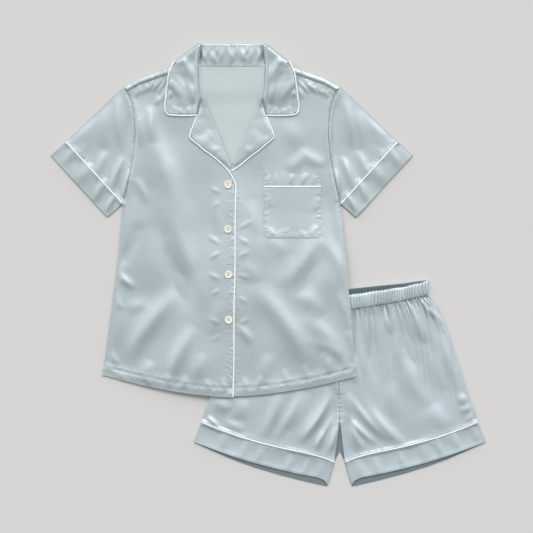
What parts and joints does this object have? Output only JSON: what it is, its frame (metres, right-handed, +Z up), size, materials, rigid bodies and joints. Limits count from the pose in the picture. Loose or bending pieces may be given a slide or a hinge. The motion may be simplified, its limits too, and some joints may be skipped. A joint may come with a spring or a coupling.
{
  "type": "pyjama set",
  "caption": "Short-sleeved satin pyjama shirt with a notched collar and piped edges, laid flat over matching elastic-waist shorts.",
  "frame": {"origin": "centre of the pair's outline, on the surface that it lies on", "axes": "+Z up from the surface, +Y towards the collar, +X towards the wearer's left"},
  "size_m": [0.8688, 0.8852, 0.0164],
  "materials": {
    "satin": "pale blue-grey satin, soft sheen",
    "elastic_waist": "satin gathered over elastic",
    "piping": "white satin piping",
    "button": "ivory, semi-gloss"
  },
  "bodies": {
    "root": {"shirt_back": "satin", "front_right": "satin", "front_left": "satin", "collar": "satin", "lapel_right": "satin", "lapel_left": "satin", "sleeve_right": "satin", "sleeve_left": "satin", "cuff_right": "satin", "cuff_left": "satin", "pocket": "satin", "pocket_band": "satin", "shorts_front_right": "satin", "shorts_front_left": "satin", "shorts_back_right": "satin", "shorts_back_left": "satin", "hem_band_right": "satin", "hem_band_left": "satin", "waistband": "elastic_waist", "collar_piping": "piping", "front_piping_right": "piping", "lapel_piping_left": "piping", "cuff_piping_right": "piping", "cuff_piping_left": "piping", "pocket_piping": "piping", "leg_piping_right": "piping", "leg_piping_left": "piping", "button_1": "button", "button_2": "button", "button_3": "button", "button_4": "button"}
  },
  "joints": []
}
